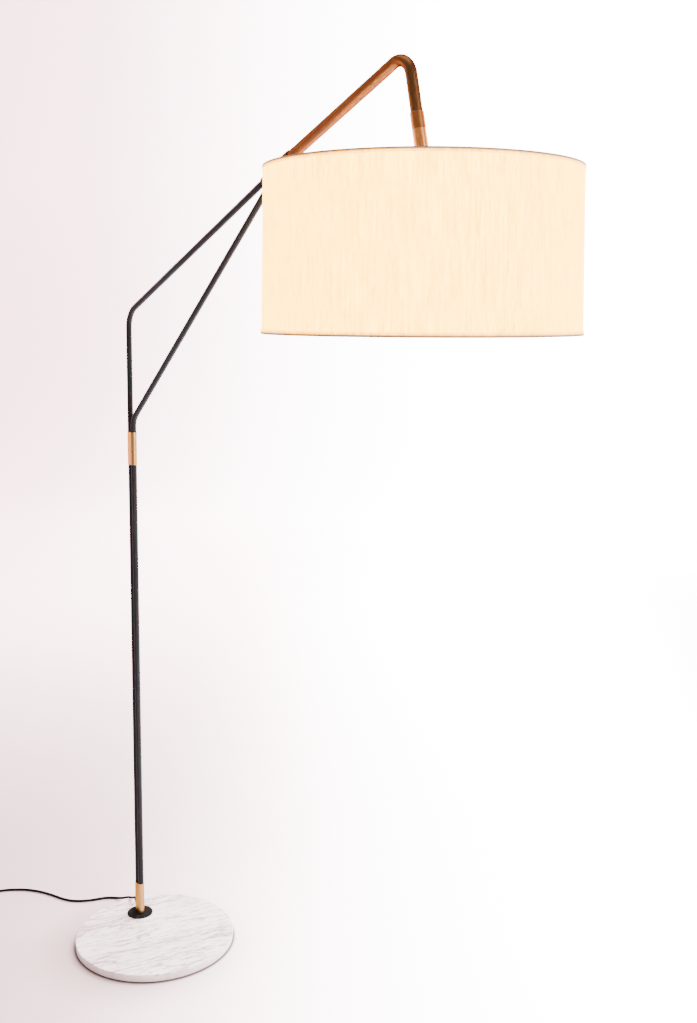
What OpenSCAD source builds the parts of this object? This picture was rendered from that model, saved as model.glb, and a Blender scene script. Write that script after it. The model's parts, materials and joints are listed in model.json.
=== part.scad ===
// Arc floor lamp: marble foot, twin-tube pole, braced arm and a hanging drum shade.
// Millimetres. +Z is up and +X is the way the arm reaches.
// The origin is on the floor, midway between the pole's two tubes.

/* [Foot] */
// Diameter of the marble slab
base_d = 350; // [320:5:400]
// Thickness of the marble slab
marble_t = 14.5; // [13:0.5:20]
// Distance from the pole to the middle of the slab
base_offset = 100; // [80:5:120]
// Turn of the slab's middle from the arm's direction, in degrees
base_turn = -9.5; // [-20:0.5:20]
// Thickness of the felt pad under the slab
pad_t = 2; // [1.5:0.5:3]
// Diameter of the round plate at the pole's foot
flange_d = 58; // [50:1:70]

/* [Pole] */
// Outside diameter of the thin black tubes
tube_d = 12.5; // [12:0.1:12.8]
// Wall of every tube
tube_wall = 1.2; // [1:0.1:1.5]
// Distance between the axes of the pole's two tubes
tube_gap = 13; // [12.9:0.1:13.5]
// Height of the brass sleeve at the foot
ferrule_h = 72; // [60:1:80]
// Height of the bottom of the mid collar
collar_z = 1071; // [1000:1:1100]
// Length of the mid collar
collar_h = 73; // [60:1:80]

/* [Arm] */
// Height where the main tube's upright and sloping lines cross
arm_corner_z = 1406.5; // [1390:0.5:1420]
// Height where the brace's upright and sloping lines cross
brace_corner_z = 1173; // [1170:0.5:1180]
// Distance from the pole to the fitting where main tube and brace meet
joint_x = 570; // [560:1:580]
// Height of that fitting
joint_z = 1675.5; // [1670:0.5:1680]
// Slope of the brass upper arm, in degrees
upper_slope = 23.2; // [22:0.1:25]
// Outside diameter of the brass upper arm
upper_d = 19.5; // [17:0.5:20]
// Distance from the pole to the shade's axis
reach = 946; // [930:1:950]
// Lean of the arm's down leg from upright, in degrees
leg_lean = 12.5; // [11:0.1:14]

/* [Shade] */
// Height of the shade's lower edge
shade_z = 1379; // [1360:1:1385]
// Height of the shade
shade_h = 257; // [240:1:260]
// Top diameter of the shade
shade_top_d = 500; // [460:5:500]
// Bottom diameter of the shade
shade_bottom_d = 506; // [470:2:508]
// Height of the knuckle's pin
pivot_z = 1652; // [1650:1:1656]

/* [Cord] */
// Diameter of the mains cord
cord_d = 5.5; // [5:0.5:6]

/* [Hidden] */
$fn = 64;
slip = 0.05;         // radial clearance of a slip fit
swell = 0.02;        // how much fuller a bend's section is than a straight run's
lap = 0.1;           // how far a straight run reaches into a bend
black = [0.15, 0.15, 0.16];
brass = [0.80, 0.60, 0.34];
steel = [0.62, 0.62, 0.64];
rubber = [0.08, 0.08, 0.09];
linen = [0.97, 0.92, 0.83];

// Foot
base_x = base_offset * cos(base_turn);
base_y = base_offset * sin(base_turn);
marble_top = pad_t + marble_t;
marble_bevel = 1.2;
pad_d = base_d - 10;
ballast_d = base_d - 50;
ballast_t = 7;
ballast_gap = 0.2;
ballast_z = pad_t + ballast_gap;
well_d = 26;         // well in the ballast for the washer and nut
well_h = 5.2;
stud_d = 8;
washer_d = 24;
washer_t = 1.2;
nut_w = 13;          // across flats
nut_h = 4;
flange_t = 3;
flange_top = marble_top + flange_t;
block_h = 6.5;
tube_z = flange_top + block_h;    // where the pole's tubes stand
stud_bottom = ballast_z + 0.6;
stud_top = tube_z - 1;
sleeve_wall = 0.9;
sleeve_d = tube_d + 2 * slip + 2 * sleeve_wall;
tube_id = tube_d - 2 * tube_wall;
rear_x = -tube_gap / 2;
front_x = tube_gap / 2;
split_z = collar_z + collar_h / 2;
screw_d = 4;
screw_zs = [collar_z + 12, collar_z + collar_h - 12];

// Cord exit, in the rear tube's back
exit_z = 33;
exit_dir = [-0.96, 0.28];         // away from the arm and a little to the left
exit_turn = atan2(exit_dir[1], exit_dir[0]);
relief_bore_d = 7;
relief_tip = 30.6;                // from the rear tube's axis to the relief's tip

// Arm, as corner points in the XZ plane
arm_bend_r = 50;
brace_bend_r = 40;
peak_bend_r = 31;
joint_p = [joint_x, joint_z];
arm_corner = [rear_x, arm_corner_z];
brace_corner = [front_x, brace_corner_z];
upper_dir = [cos(upper_slope), sin(upper_slope)];
leg_dir = [sin(leg_lean), -cos(leg_lean)];
pivot_p = [reach, pivot_z];
// the peak is where the upper arm's line meets the leg's line
peak_run = ((pivot_p[0] - joint_p[0]) * leg_dir[1] - (pivot_p[1] - joint_p[1]) * leg_dir[0])
           / (upper_dir[0] * leg_dir[1] - upper_dir[1] * leg_dir[0]);
peak = joint_p + peak_run * upper_dir;
leg_len = norm(pivot_p - peak);
main_dir = (joint_p - arm_corner) / norm(joint_p - arm_corner);
brace_dir = (joint_p - brace_corner) / norm(joint_p - brace_corner);
lug_tube_gap = 46;   // from the fitting's centre to the ends of the black tubes
lug_socket = 61;     // from the fitting's centre to the mouths of its two sockets
lug_sleeve_d = 17;
lug_upper_d = 23.5;
lug_upper_start = 8;
lug_upper_end = 32;

// Fittings on the down leg, measured up the leg from the knuckle's pin
fit_d = 22.4;
collar_len = 27.5;
stem_top = 45.5;
stem_bottom = 15;
seam = 0.4;
leg_end = stem_top - 3;

// Knuckle
tongue_t = 7.8;
fork_gap = 8;
fork_w = 19;
fork_r = 9.4;
bolt_d = 6;
bolt_head_h = 3;
bolt_reach = 16;     // from the middle of the fork to the bolt's free end
knob_gap = 0.3;
knob_d = 16;
knob_h = 8;

// Lampholder and bulb, measured down the shade's axis from the knuckle's pin
tongue_foot = 20;
nipple_d = 10;
hub_z = pivot_z - 42;
hub_t = 2.5;
hub_d = 40;
cap_top = hub_z - 0.1;
cap_h = 20;
holder_d = 36;
shell_h = 46;
shell_top = cap_top - cap_h;
shell_bottom = shell_top - shell_h;
holder_wall = 1;
bulb_screw_d = 26;
insulator_d = 31.6;
contact_z = shell_top - 14;
bulb_top = contact_z - 3;
bulb_screw_h = 24;
bulb_r = 30;
bulb_len = 105;
bulb_centre = bulb_top - bulb_len + bulb_r;
switch_z = cap_top - 12;
switch_turn = -90;
knob_start = holder_d / 2 + 10;

// Shade, as layers from the inside out
liner_t = 0.8;
fabric_t = 0.8;
skin_t = liner_t + fabric_t;
ring_wire = 4;
trim_h = 7;
trim_t = 0.5;
shade_top = shade_z + shade_h;
ring_gap = 0.1;
spoke_d = 4;

// Cord
cord_r = cord_d / 2;
lie = cord_r + 0.15;              // height of the cord's middle on the floor
cord_route = [[-34, 8, 33], [-42, 10.2, 32.6], [-51, 12, 29], [-61, 13, 24], [-71, 13.4, 20.6],
              [-81, 13.2, 17.2], [-92, 12, 12.4], [-104, 9, 7], [-116, 4.2, 3.8], [-127, -4.5, lie],
              [-136.5, -17, lie], [-143, -34, lie], [-150, -53, lie], [-161, -72, lie],
              [-177, -89, lie], [-199, -101, lie], [-224, -110, lie], [-250, -120.5, lie],
              [-275, -135, lie], [-298, -154, lie], [-317, -178, lie], [-330.5, -206, lie],
              [-337, -238, lie], [-337, -270, lie]];
cord_ring_step = 13;
turn_r = 32;                      // middle of the coil's turns
coil_w = 4 * cord_d;
coil_h = 2 * cord_d;
coil_x = -377.25;
coil_y = -276;
// short tail from the coil's outer turn to the plug
tail_route = [[-384, -316.5, 8.2], [-395, -317.5, 6.6], [-408, -318.5, 4.2], [-420, -319, 4.4],
              [-434, -319, 6.5]];
plug_x = -431;
plug_y = -319;
plug_neck = 12;
plug_l = 34;
plug_w = 24;
plug_h = 13;
blade_l = 17;
blade_t = 1.5;
blade_w = 6.4;
blade_gap = 12.7;

// ---------- helpers ----------

function unit(v) = v / norm(v);
function cross2(a, b) = a[0] * b[1] - a[1] * b[0];
// signed turn at a corner, anticlockwise positive
function turn_at(p, i) = let (u = unit(p[i] - p[i - 1]), v = unit(p[i + 1] - p[i]))
    atan2(cross2(u, v), u * v);
function tangent_at(p, r, i) = i <= 0 || i >= len(p) - 1 ? 0 : r[i] * tan(abs(turn_at(p, i)) / 2);

// A straight round bar between two points of the XZ plane
module bar(a, b, d) {
    translate([a[0], 0, a[1]])
        rotate([0, atan2(b[0] - a[0], b[1] - a[1]), 0])
            cylinder(h = norm(b - a), d = d);
}

// Straight runs and bends in turn, starting up +Z. A bend is [radius, turn], positive towards +X.
// Its section is a hair fuller than the runs, which lap into it.
module pipe_run(steps, od, id, i = 0) {
    if (i < len(steps)) {
        if (is_list(steps[i])) {
            r = steps[i][0];
            turn = steps[i][1];
            side = turn > 0 ? 1 : -1;
            translate([side * r, 0, 0]) {
                rotate([90, 0, 0]) rotate([0, 0, turn > 0 ? 180 - turn : 0])
                    rotate_extrude(angle = abs(turn)) translate([r, 0])
                        ring_section(od + 2 * swell, id > 0 ? id - 2 * swell : 0);
                rotate([0, turn, 0]) translate([-side * r, 0, 0]) pipe_run(steps, od, id, i + 1);
            }
        } else {
            before = i > 0 ? lap : 0;
            after = i < len(steps) - 1 ? lap : 0;
            translate([0, 0, -before]) linear_extrude(steps[i] + before + after) ring_section(od, id);
            translate([0, 0, steps[i]]) pipe_run(steps, od, id, i + 1);
        }
    }
}

module ring_section(od, id) {
    difference() {
        circle(d = od);
        if (id > 0) circle(d = id);
    }
}

// The runs and bends of a pipe through corner points, with a bend of radius r[i] at corner i
function pipe_steps(p, r) = [for (i = [0 : len(p) - 2])
    each concat(i > 0 ? [[r[i], -turn_at(p, i)]] : [],
                [norm(p[i + 1] - p[i]) - tangent_at(p, r, i) - tangent_at(p, r, i + 1)])];

// A pipe along corner points of the XZ plane, solid if id is 0
module pipe(p, r, od, id = 0) {
    translate([p[0][0], 0, p[0][1]])
        rotate([0, atan2(p[1][0] - p[0][0], p[1][1] - p[0][1]), 0])
            pipe_run(pipe_steps(p, r), od, id);
}

// An upright bar of oval section that spans the pole's two tubes
module oval(d, h) {
    linear_extrude(h) {
        for (x = [rear_x, front_x]) translate([x, 0]) circle(d = d);
        translate([rear_x, -d / 2]) square([tube_gap, d]);
    }
}

module oval_sleeve(z, h) {
    translate([0, 0, z]) difference() {
        oval(sleeve_d, h);
        translate([0, 0, -1]) oval(sleeve_d - 2 * sleeve_wall, h + 2);
    }
}

// Frame on the down leg: origin at the knuckle's pin, +Z up the leg
module on_leg() {
    translate([reach, 0, pivot_z]) rotate([0, -leg_lean, 0]) children();
}

module on_shade_axis(z) {
    translate([reach, 0, z]) children();
}

module at_base() {
    translate([base_x, base_y, 0]) children();
}

function shade_r(z) = (shade_bottom_d + (shade_top_d - shade_bottom_d) * (z - shade_z) / shade_h) / 2;

// A shade layer between two depths under the outer face
module shade_layer(outer, inner, z0, z1) {
    on_shade_axis(0) rotate_extrude($fn = 128)
        polygon([[shade_r(z0) - inner, z0], [shade_r(z0) - outer, z0],
                 [shade_r(z1) - outer, z1], [shade_r(z1) - inner, z1]]);
}

// ---------- foot ----------

module floor_pad() {
    color(rubber) at_base() cylinder(h = pad_t, d = pad_d, $fn = 128);
}

module ballast_plate() {
    color(steel) difference() {
        at_base() translate([0, 0, ballast_z]) cylinder(h = ballast_t, d = ballast_d, $fn = 128);
        translate([0, 0, ballast_z - 1]) cylinder(h = well_h + 1, d = well_d);
        cylinder(h = marble_top, d = stud_d + 0.4);
    }
}

module marble_base() {
    r = base_d / 2;
    color([0.94, 0.92, 0.92]) difference() {
        at_base() translate([0, 0, pad_t]) rotate_extrude($fn = 128)
            polygon([[0, 0], [r - 0.5, 0], [r, 0.5], [r, marble_t - marble_bevel],
                     [r - marble_bevel, marble_t], [0, marble_t]]);
        at_base() translate([0, 0, pad_t - 1])
            cylinder(h = ballast_z + ballast_t - pad_t + 1, d = ballast_d + 2 * ballast_gap, $fn = 128);
        cylinder(h = marble_top + 1, d = stud_d + 0.4);
    }
}

module foot_stud() {
    color(steel) translate([0, 0, stud_bottom]) cylinder(h = stud_top - stud_bottom, d = stud_d);
}

module foot_washer() {
    color(steel) translate([0, 0, ballast_z + well_h - washer_t]) difference() {
        cylinder(h = washer_t, d = washer_d);
        translate([0, 0, -1]) cylinder(h = washer_t + 2, d = stud_d + 0.3);
    }
}

module foot_nut() {
    color(steel) translate([0, 0, ballast_z + well_h - washer_t - nut_h]) difference() {
        cylinder(h = nut_h, d = nut_w / cos(30), $fn = 6);
        translate([0, 0, -1]) cylinder(h = nut_h + 2, d = stud_d);
    }
}

module foot_flange() {
    color(black) translate([0, 0, marble_top]) difference() {
        rotate_extrude()
            polygon([[0, 0], [flange_d / 2, 0], [flange_d / 2, flange_t - 0.8],
                     [flange_d / 2 - 0.8, flange_t], [0, flange_t]]);
        translate([0, 0, -1]) cylinder(h = flange_t + 2, d = stud_d + 0.4);
    }
}

module foot_block() {
    color(steel) difference() {
        union() {
            translate([0, 0, flange_top]) oval(tube_d, block_h);
            translate([front_x, 0, tube_z]) cylinder(h = 28, d = tube_id - 2 * slip);
            translate([rear_x, 0, tube_z]) cylinder(h = 2.5, d = tube_id - 2 * slip);
        }
        translate([0, 0, flange_top - 1]) cylinder(h = stud_top - flange_top + 1, d = stud_d);
    }
}

// The hole for the cord, along its exit from the rear tube's axis
module exit_hole(d) {
    translate([rear_x, 0, exit_z]) rotate([0, 90, exit_turn]) cylinder(h = 30, d = d);
}

module foot_ferrule() {
    color(brass) difference() {
        oval_sleeve(flange_top, ferrule_h);
        exit_hole(relief_bore_d);
    }
}

module cord_relief() {
    flange_start = sleeve_d / 2 - 0.6;
    bush_start = tube_id / 2 - 3;
    color(rubber) difference() {
        translate([rear_x, 0, exit_z]) rotate([0, 90, exit_turn]) {
            translate([0, 0, bush_start]) cylinder(h = 8, d = relief_bore_d);
            translate([0, 0, flange_start]) cylinder(h = 2.4, d = 10);
            translate([0, 0, flange_start + 2.4])
                cylinder(h = relief_tip - flange_start - 2.4, d1 = 8.6, d2 = cord_d + 1.4);
        }
        // the flange is dished to sit on the round ferrule
        translate([rear_x, 0, exit_z - 10]) difference() {
            cylinder(h = 20, d = sleeve_d);
            rotate([0, 90, exit_turn]) translate([-10, 0, 0]) cylinder(h = 30, d = relief_bore_d);
        }
    }
}

// ---------- pole ----------

module rear_pole_tube() {
    color(black) difference() {
        translate([rear_x, 0, tube_z]) cylinder(h = split_z - tube_z, d = tube_d);
        translate([rear_x, 0, tube_z - 1]) cylinder(h = split_z - tube_z + 2, d = tube_id);
        exit_hole(relief_bore_d);
        screw_holes(screw_d);
    }
}

module front_pole_tube() {
    color(black) difference() {
        translate([front_x, 0, tube_z]) cylinder(h = split_z - tube_z, d = tube_d);
        translate([front_x, 0, tube_z - 1]) cylinder(h = split_z - tube_z + 2, d = tube_id);
    }
}

module coupling_dowels() {
    color(steel) for (x = [rear_x, front_x])
        translate([x, 0, split_z - 30]) difference() {
            cylinder(h = 60, d = tube_id - 2 * slip);
            translate([0, 0, -1]) cylinder(h = 62, d = 7);
        }
}

module screw_holes(d) {
    for (z = screw_zs) translate([rear_x, 0, z]) rotate([0, -90, 0]) cylinder(h = 12, d = d);
}

module pole_collar() {
    color(brass) difference() {
        oval_sleeve(collar_z, collar_h);
        screw_holes(screw_d);
    }
}

module collar_screws() {
    color(steel) for (z = screw_zs) translate([rear_x, 0, z]) rotate([0, -90, 0]) {
        difference() {
            translate([0, 0, tube_id / 2 - slip]) cylinder(h = tube_wall + slip + 0.9, d = screw_d);
            translate([0, 0, tube_d / 2 - 0.2]) cylinder(h = 3, d = 2.3, $fn = 6);
        }
    }
}

// ---------- arm ----------

main_end = joint_p - lug_tube_gap * main_dir;
brace_end = joint_p - lug_tube_gap * brace_dir;

module main_arm_tube() {
    color(black) difference() {
        pipe([[rear_x, split_z], arm_corner, main_end], [0, arm_bend_r, 0], tube_d, tube_id);
        screw_holes(screw_d);
    }
}

module brace_tube() {
    color(black)
        pipe([[front_x, split_z], brace_corner, brace_end], [0, brace_bend_r, 0], tube_d, tube_id);
}

module arm_lug() {
    color(brass) difference() {
        union() {
            bar(joint_p - lug_socket * main_dir, joint_p, lug_sleeve_d);
            bar(joint_p - lug_socket * brace_dir, joint_p, lug_sleeve_d);
            bar(joint_p - 20 * upper_dir, joint_p + lug_upper_end * upper_dir, lug_upper_d);
            translate([joint_x, 0, joint_z] - 20 * [upper_dir[0], 0, upper_dir[1]]) sphere(d = lug_upper_d);
        }
        bar(joint_p - (lug_socket + 1) * main_dir, main_end, tube_d);
        bar(joint_p - (lug_socket + 1) * brace_dir, brace_end, tube_d);
        bar(main_end - main_dir, joint_p, 8);
        bar(joint_p, joint_p + lug_upper_end * upper_dir, 8);
        bar(joint_p + lug_upper_start * upper_dir, joint_p + (lug_upper_end + 1) * upper_dir, upper_d);
    }
}

module upper_arm_tube() {
    start = joint_p + lug_upper_start * upper_dir;
    finish = pivot_p - leg_end * leg_dir;
    color(brass)
        pipe([start, peak, finish], [0, peak_bend_r, 0], upper_d, upper_d - 2 * tube_wall);
}

module end_collar() {
    color(brass) on_leg() difference() {
        translate([0, 0, stem_top + seam]) rotate_extrude()
            polygon([[upper_d / 2, 0], [fit_d / 2, 0], [fit_d / 2, collar_len - 0.5],
                     [fit_d / 2 - 0.5, collar_len], [upper_d / 2, collar_len]]);
        translate([0, 0, stem_top + collar_len / 2]) rotate([0, -90, 0]) cylinder(h = 20, d = screw_d);
    }
}

module end_collar_screw() {
    color(steel) on_leg() translate([0, 0, stem_top + collar_len / 2]) rotate([0, -90, 0]) difference() {
        translate([0, 0, upper_d / 2]) cylinder(h = 1.2, d = screw_d);
        translate([0, 0, upper_d / 2 + 0.5]) cylinder(h = 3, d = 2.3, $fn = 6);
    }
}

cable_d = 5;
cable_start = exit_z + 4;

module inner_cable() {
    finish = pivot_p - (stem_bottom + 9) * leg_dir;
    color(rubber)
        pipe([[rear_x, cable_start], arm_corner, joint_p, peak, finish],
             [0, arm_bend_r, 200, peak_bend_r, 0], cable_d);
}

// ---------- shade hanger ----------

stem_bore = 15;

module shade_stem() {
    color(brass) on_leg() difference() {
        translate([0, 0, stem_bottom]) cylinder(h = stem_top - stem_bottom, d = fit_d);
        translate([0, 0, stem_bottom - 1]) cylinder(h = stem_top, d = stem_bore);
        translate([0, 0, leg_end]) cylinder(h = stem_top, d = upper_d);
    }
}

module knuckle_fork() {
    color(brass) on_leg() difference() {
        union() {
            translate([0, 0, stem_bottom]) cylinder(h = 8, d = stem_bore - 2 * slip);
            translate([0, 0, 11.5]) cylinder(h = stem_bottom - 11.5, d = fit_d - 0.4);
            intersection() {
                cylinder(h = 12, d = fit_d - 0.4);
                translate([-fork_r, -fork_w / 2, 0]) cube([2 * fork_r, fork_w, 12]);
            }
            rotate([90, 0, 0]) translate([0, 0, -fork_w / 2]) cylinder(h = fork_w, r = fork_r);
        }
        // slot for the tongue
        rotate([90, 0, 0]) translate([0, 0, -fork_gap / 2]) cylinder(h = fork_gap, r = fork_r + 1.4);
        translate([-20, -fork_gap / 2, -20]) cube([40, fork_gap, 20]);
        rotate([90, 0, 0]) translate([0, 0, -20]) cylinder(h = 40, d = bolt_d);
    }
}

module knuckle_bolt() {
    color(steel) translate([reach, 0, pivot_z]) rotate([90, 0, 0]) {
        translate([0, 0, fork_w / 2]) cylinder(h = bolt_head_h, d = 11);
        translate([0, 0, -bolt_reach]) cylinder(h = bolt_reach + fork_w / 2 + 1, d = bolt_d);
    }
}

// The knurled nut that locks the tilt: a ribbed drum on the bolt's threaded end
module lock_knob() {
    ribs = 18;
    rib_d = 1.6;
    color(brass) translate([reach, fork_w / 2 + knob_gap, pivot_z]) rotate([-90, 0, 0]) difference() {
        union() {
            cylinder(h = knob_h, d = knob_d);
            for (i = [0 : ribs - 1]) rotate([0, 0, i * 360 / ribs])
                translate([knob_d / 2 - 0.2, 0, 1]) cylinder(h = knob_h - 2, d = rib_d, $fn = 16);
        }
        translate([0, 0, -1]) cylinder(h = bolt_reach - fork_w / 2 + 1, d = bolt_d + 2 * slip);
    }
}

module knuckle_tongue() {
    neck_top = pivot_z - tongue_foot;
    color(brass) difference() {
        union() {
            translate([reach, 0, pivot_z]) rotate([90, 0, 0])
                translate([0, 0, -tongue_t / 2]) cylinder(h = tongue_t, r = fork_r);
            translate([reach - fork_r, -tongue_t / 2, neck_top - 0.5])
                cube([2 * fork_r, tongue_t, tongue_foot + 0.5]);
            on_shade_axis(neck_top - 7) cylinder(h = 7, d = 20);
        }
        translate([reach, 0, pivot_z]) rotate([90, 0, 0])
            translate([0, 0, -10]) cylinder(h = 20, d = bolt_d + 0.1);
        on_shade_axis(neck_top - 8) cylinder(h = 10, d = nipple_d);
    }
}

module holder_nipple() {
    top = pivot_z - tongue_foot + 1.9;
    bottom = cap_top - 5;
    color(steel) on_shade_axis(bottom) difference() {
        cylinder(h = top - bottom, d = nipple_d);
        translate([0, 0, -1]) cylinder(h = top - bottom + 2, d = 6);
    }
}

module holder_cap() {
    r = holder_d / 2;
    color(brass) difference() {
        on_shade_axis(shell_top) rotate_extrude()
            polygon([[nipple_d / 2, cap_h], [11, cap_h], [r - 3, cap_h - 4], [r, cap_h - 9], [r, 0],
                     [r - holder_wall, 0], [r - holder_wall, cap_h - 9.5], [r - 4, cap_h - 5.5],
                     [10.5, cap_h - 2], [nipple_d / 2, cap_h - 2]]);
        on_shade_axis(switch_z) rotate([0, 90, switch_turn]) cylinder(h = 40, d = 6.4);
    }
}

module holder_shell() {
    r = holder_d / 2 - holder_wall - 0.1;
    color(brass) on_shade_axis(0) rotate_extrude()
        polygon([[r - holder_wall, shell_bottom], [r + 1.4, shell_bottom], [r + 1.4, shell_bottom + 3],
                 [r, shell_bottom + 3.5], [r, shell_top + 5], [r - holder_wall, shell_top + 5]]);
}

module holder_insulator() {
    r = insulator_d / 2;
    color([0.9, 0.88, 0.82]) on_shade_axis(0) rotate_extrude()
        polygon([[0, contact_z], [bulb_screw_d / 2 + 0.6, contact_z],
                 [bulb_screw_d / 2 + 0.6, shell_bottom + 6], [r, shell_bottom + 6],
                 [r, shell_top], [0, shell_top]]);
}

module holder_contact() {
    color(brass) on_shade_axis(bulb_top) cylinder(h = contact_z - bulb_top, d = 7);
}

module switch_spindle() {
    color(steel) on_shade_axis(switch_z) rotate([0, 90, switch_turn])
        translate([0, 0, 7]) cylinder(h = knob_start + 6 - 7, d = 3);
}

// Flat turn knob with rounded ends
module switch_knob() {
    color(rubber) on_shade_axis(switch_z) rotate([0, 90, switch_turn]) translate([0, 0, knob_start])
        difference() {
            union() {
                cylinder(h = 5, d = 7);
                translate([0, 0, 3]) linear_extrude(9) {
                    for (y = [-4, 4]) translate([0, y]) circle(d = 5);
                    translate([-2.5, -4]) square([5, 8]);
                }
            }
            translate([0, 0, -1]) cylinder(h = 7.2, d = 3.1);
        }
}

module bulb_cap() {
    r = bulb_screw_d / 2;
    pitch = 3.6;
    turns = 5;
    thread = [for (i = [0 : turns * 2]) [r - (i % 2 == 0 ? 0.9 : 0.1), -3 - i * pitch / 2]];
    color(steel) on_shade_axis(bulb_top) rotate_extrude()
        polygon(concat([[0, 0], [4, 0], [r - 3, -2]], thread,
                       [[r - 0.6, -bulb_screw_h], [r - 1.6, -bulb_screw_h], [0, -bulb_screw_h]]));
}

// Pear-shaped glass: a ball that narrows smoothly into the screw cap
module bulb_glass() {
    neck_r = bulb_screw_d / 2 - 1.6;
    neck_z = bulb_top - bulb_screw_h;
    blend = 40;      // angle up the ball where the neck curve starts
    p1 = [bulb_r * cos(blend), bulb_centre + bulb_r * sin(blend)];
    steps = 6;
    ball = [for (a = [-90 : 10 : blend]) [bulb_r * cos(a), bulb_centre + bulb_r * sin(a)]];
    neck = [for (i = [1 : steps]) let (t = i / steps, s = t * t * (3 - 2 * t))
            [p1[0] + (neck_r - p1[0]) * (t + s) / 2, p1[1] + (neck_z - p1[1]) * t]];
    color([1, 0.95, 0.85]) on_shade_axis(0) rotate_extrude()
        polygon(concat([for (q = ball) [max(q[0], 0), q[1]]], neck, [[0, neck_z]]));
}

module holder_lead() {
    top = pivot_z - tongue_foot + 1;
    color(rubber) on_shade_axis(shell_top + 5) cylinder(h = top - shell_top - 5, d = 5);
}

// ---------- shade ----------

module spider_hub() {
    color(brass) on_shade_axis(hub_z) difference() {
        cylinder(h = hub_t, d = hub_d);
        translate([0, 0, -1]) cylinder(h = hub_t + 2, d = nipple_d + 0.2);
    }
}

spoke_turns = [60, 180, 300];

module spider_spokes() {
    inner = hub_d / 2 - 2;
    outer = shade_r(shade_top) - skin_t - ring_wire;
    rise = shade_top - ring_wire / 2 - (hub_z + hub_t + spoke_d / 2);
    run = outer - inner;
    color(brass) for (a = spoke_turns) on_shade_axis(hub_z + hub_t + spoke_d / 2) rotate([0, 0, a])
        translate([inner, 0, 0]) rotate([0, atan2(run, rise), 0])
            cylinder(h = norm([run, rise]), d = spoke_d);
}

module spider_nut() {
    color(brass) on_shade_axis(hub_z + hub_t + 0.1) difference() {
        cylinder(h = 5, d = 18 / cos(30), $fn = 6);
        translate([0, 0, -1]) cylinder(h = 7, d = nipple_d);
    }
}

// Wire ring inside the liner, at a shade height
module wire_ring(z) {
    color(steel) on_shade_axis(z) rotate_extrude($fn = 128)
        translate([shade_r(z) - skin_t - ring_gap - ring_wire / 2, 0]) circle(d = ring_wire, $fn = 24);
}

module top_ring() {
    wire_ring(shade_top - ring_wire / 2 - 0.3);
}

module bottom_ring() {
    wire_ring(shade_z + ring_wire / 2 + 0.3);
}

module shade_liner() {
    color("white") shade_layer(fabric_t, skin_t, shade_z, shade_top);
}

module shade_fabric() {
    color(linen) shade_layer(0, fabric_t, shade_z, shade_top);
}

// Folded tape over an edge: an outer band and a lip across the edge
module trim(z0, z1, lip_z) {
    color(linen) union() {
        shade_layer(-trim_t, 0, z0, z1);
        shade_layer(-trim_t, skin_t, lip_z, lip_z + trim_t);
    }
}

module top_trim() {
    trim(shade_top - trim_h, shade_top + trim_t, shade_top);
}

module bottom_trim() {
    trim(shade_z - trim_t, shade_z + trim_h, shade_z - trim_t);
}

// ---------- cord ----------

// Point at t along a smooth curve through the route's points
function spline(p, i, t) = let (n = len(p) - 1, a = p[max(i - 1, 0)], b = p[i], c = p[min(i + 1, n)],
                                d = p[min(i + 2, n)])
    0.5 * ((2 * b) + (c - a) * t + (2 * a - 5 * b + 4 * c - d) * t * t
           + (3 * b - a - 3 * c + d) * t * t * t);
function cord_points(p) = concat([for (i = [0 : len(p) - 2])
    let (n = max(1, round(norm(p[i + 1] - p[i]) / cord_ring_step)))
    for (k = [0 : n - 1]) spline(p, i, k / n)],
    [p[len(p) - 1]]);
function along(p, i) = unit(p[min(i + 1, len(p) - 1)] - p[max(i - 1, 0)]);

// A closed round tube swept along points
module swept(p, r, sides) {
    n = len(p);
    verts = [for (i = [0 : n - 1]) let (t = along(p, i), s = unit(cross([0, 0, 1], t)), u = cross(t, s))
             for (k = [0 : sides - 1]) p[i] + r * (cos(360 * k / sides) * s + sin(360 * k / sides) * u)];
    sides_faces = [for (i = [0 : n - 2]) for (k = [0 : sides - 1])
                   let (j = (k + 1) % sides)
                   [i * sides + k, (i + 1) * sides + k, (i + 1) * sides + j, i * sides + j]];
    first = [for (k = [0 : sides - 1]) k];
    last = [for (k = [0 : sides - 1]) (n - 1) * sides + sides - 1 - k];
    polyhedron(verts, concat(sides_faces, [first, last]), convexity = 6);
}

module mains_cord() {
    color(rubber) swept(cord_points(cord_route), cord_r, 10);
}

// Short end of the cord, from the coil to the plug
module cord_tail() {
    color(rubber) swept(cord_points(tail_route), cord_r, 10);
}

// Section of the coil: a rounded square that holds the turns
module coil_section() {
    inner = turn_r - coil_w / 2;
    for (x = [inner + cord_r, inner + coil_w - cord_r]) for (z = [cord_r, coil_h - cord_r])
        translate([x, z]) circle(d = cord_d, $fn = 16);
    translate([inner, cord_r]) square([coil_w, coil_h - cord_d]);
    translate([inner + cord_r, 0]) square([coil_w - cord_d, coil_h]);
}

module cord_coil() {
    color(rubber) translate([coil_x, coil_y, 0]) rotate_extrude() coil_section();
}

module at_plug() {
    translate([plug_x, plug_y, plug_h / 2]) rotate([0, -90, 0]) children();
}

// The plug lies flat, with its neck towards the coil
module plug_body() {
    body_z = plug_neck - 0.5;
    color(rubber) difference() {
        at_plug() union() {
            cylinder(h = plug_neck, d1 = cord_d + 1.4, d2 = 9.5);
            translate([0, 0, body_z]) linear_extrude(plug_l - 0.5) {
                for (y = [-1, 1]) translate([0, y * (plug_w - plug_h) / 2]) circle(d = plug_h);
                translate([-plug_h / 2, -(plug_w - plug_h) / 2]) square([plug_h, plug_w - plug_h]);
            }
        }
        plug_blades_shape();
    }
}

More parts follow.
